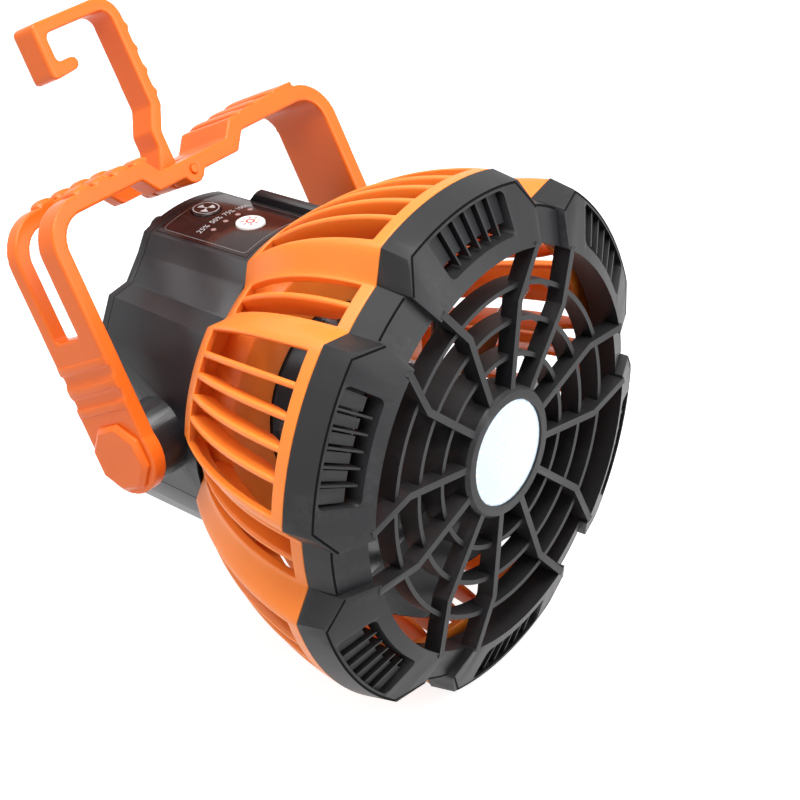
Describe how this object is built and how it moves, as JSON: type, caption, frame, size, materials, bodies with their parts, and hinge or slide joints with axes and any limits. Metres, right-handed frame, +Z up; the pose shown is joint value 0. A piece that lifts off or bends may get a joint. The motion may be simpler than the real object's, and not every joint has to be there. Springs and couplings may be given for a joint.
{
  "type": "portable camping fan",
  "caption": "Portable rechargeable camping fan with a ring-and-spoke grille, lamp, louvred round body, battery housing, tilting bail and folding hook.",
  "frame": {"origin": "the hook's seat: under side of the hook's top, where a rail or line bears", "axes": "+Y along the air axis from the grille to the back, +Z up through the control panel, +X along the bail's pivot"},
  "size_m": [0.1718, 0.1673, 0.2087],
  "materials": {
    "black_plastic": "fine matte texture",
    "housing_plastic": "satin",
    "dark_plastic": "satin",
    "orange_plastic": "satin moulded",
    "white_plastic": "satin",
    "lens": "milky, lit from behind",
    "panel_gloss": "polished",
    "button_white": "satin",
    "circuit_board": "solder mask",
    "led_chip": "resin",
    "cell_sleeve": "shrink sleeve",
    "foot_rubber": "matte",
    "steel": "plated"
  },
  "bodies": {
    "head": {"front_grille": "black_plastic", "lamp_lens": "lens", "lamp_frame": "white_plastic", "led_board": "circuit_board", "leds": "led_chip", "body_shell": "orange_plastic", "grille_screws": "steel", "motor": "steel", "motor_mount": "dark_plastic", "motor_screws": "steel", "upper_housing": "housing_plastic", "lower_housing": "housing_plastic", "rear_cover": "housing_plastic", "cover_screws": "steel", "rubber_feet": "foot_rubber", "control_panel": "panel_gloss", "battery_lights": "white_plastic", "main_board": "circuit_board", "tact_switches": "steel", "infrared_receiver": "panel_gloss", "battery_cells": "cell_sleeve", "battery_cradle": "dark_plastic", "charge_board": "circuit_board", "usb_c_socket": "steel", "usb_a_socket": "steel", "pivot_screw_left": "steel", "pivot_screw_right": "steel"},
    "impeller": {"impeller": "dark_plastic", "motor_shaft": "steel"},
    "fan_button": {"fan_button": "panel_gloss"},
    "light_button": {"light_button": "button_white"},
    "handle": {"handle": "orange_plastic", "pivot_cap_left": "orange_plastic", "pivot_cap_right": "orange_plastic", "friction_washer_left": "foot_rubber", "friction_washer_right": "foot_rubber", "hook_pin": "steel"},
    "hook": {"hook": "orange_plastic"}
  },
  "joints": [
    {"name": "impeller_spin", "type": "hinge", "parent": "head", "child": "impeller", "pos_m": [0.015, -0.13366, -0.11583], "axis": [0, 1, 0], "continuous": true},
    {"name": "fan_button_press", "type": "slide", "parent": "head", "child": "fan_button", "axis": [0, 0, -1], "range_m": [0, 0.0008], "stiffness_N_per_m": 900, "springref_m": -0.0006},
    {"name": "light_button_press", "type": "slide", "parent": "head", "child": "light_button", "axis": [0, 0, -1], "range_m": [0, 0.0008], "stiffness_N_per_m": 900, "springref_m": -0.0006},
    {"name": "handle_tilt", "type": "hinge", "parent": "head", "child": "handle", "pos_m": [0.015, -0.05816, -0.11583], "axis": [-1, 0, 0], "range_deg": [-31, 156]},
    {"name": "hook_fold", "type": "hinge", "parent": "handle", "child": "hook", "pos_m": [0.0126, -0.02551, -0.05231], "axis": [0, -0.8988, 0.4384], "range_deg": [0, 90]}
  ]
}
